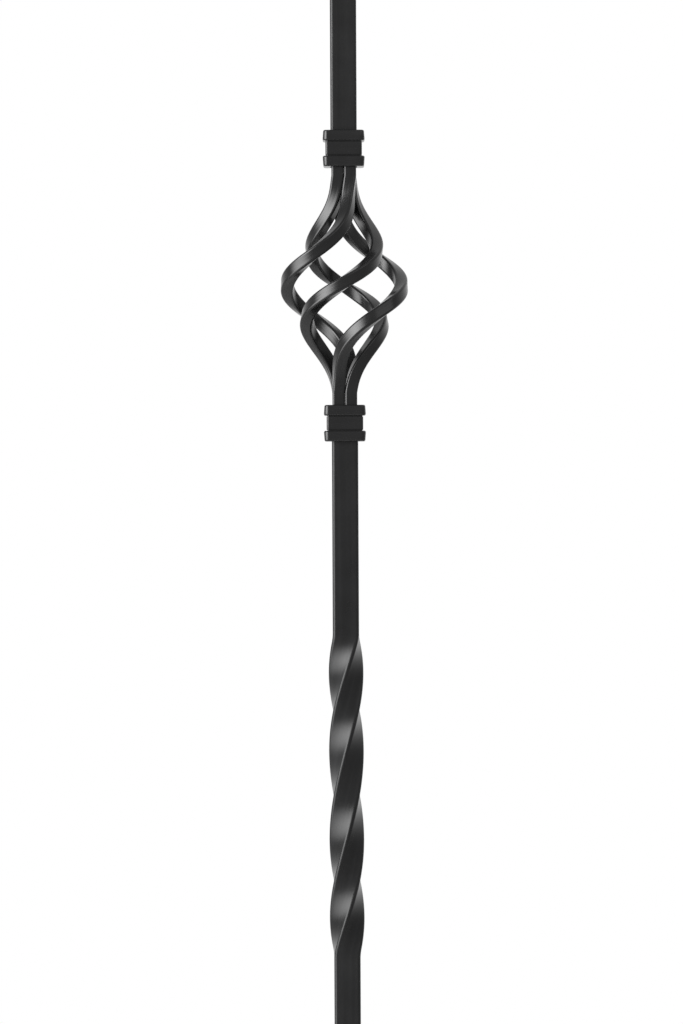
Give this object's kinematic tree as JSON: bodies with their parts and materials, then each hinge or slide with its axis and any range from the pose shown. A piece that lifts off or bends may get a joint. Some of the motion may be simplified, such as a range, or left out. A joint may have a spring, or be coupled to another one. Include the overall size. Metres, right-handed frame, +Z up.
{
  "type": "iron stair baluster",
  "caption": "Square iron stair baluster with an open basket of twisted rods between two collars and a twisted stretch of bar below, satin black.",
  "frame": {"origin": "centre of the bottom end face", "axes": "+Z up along the bar, X and Y square to the bar's flats, with the front towards -Y"},
  "size_m": [0.0612, 0.0612, 1.1176],
  "materials": {
    "satin_black": "satin black powder coat over solid iron"
  },
  "bodies": {
    "root": {"upper_bar": "satin_black", "lower_bar": "satin_black", "upper_collar": "satin_black", "lower_collar": "satin_black", "basket_rod_1": "satin_black", "basket_rod_2": "satin_black", "basket_rod_3": "satin_black", "basket_rod_4": "satin_black"}
  },
  "joints": []
}
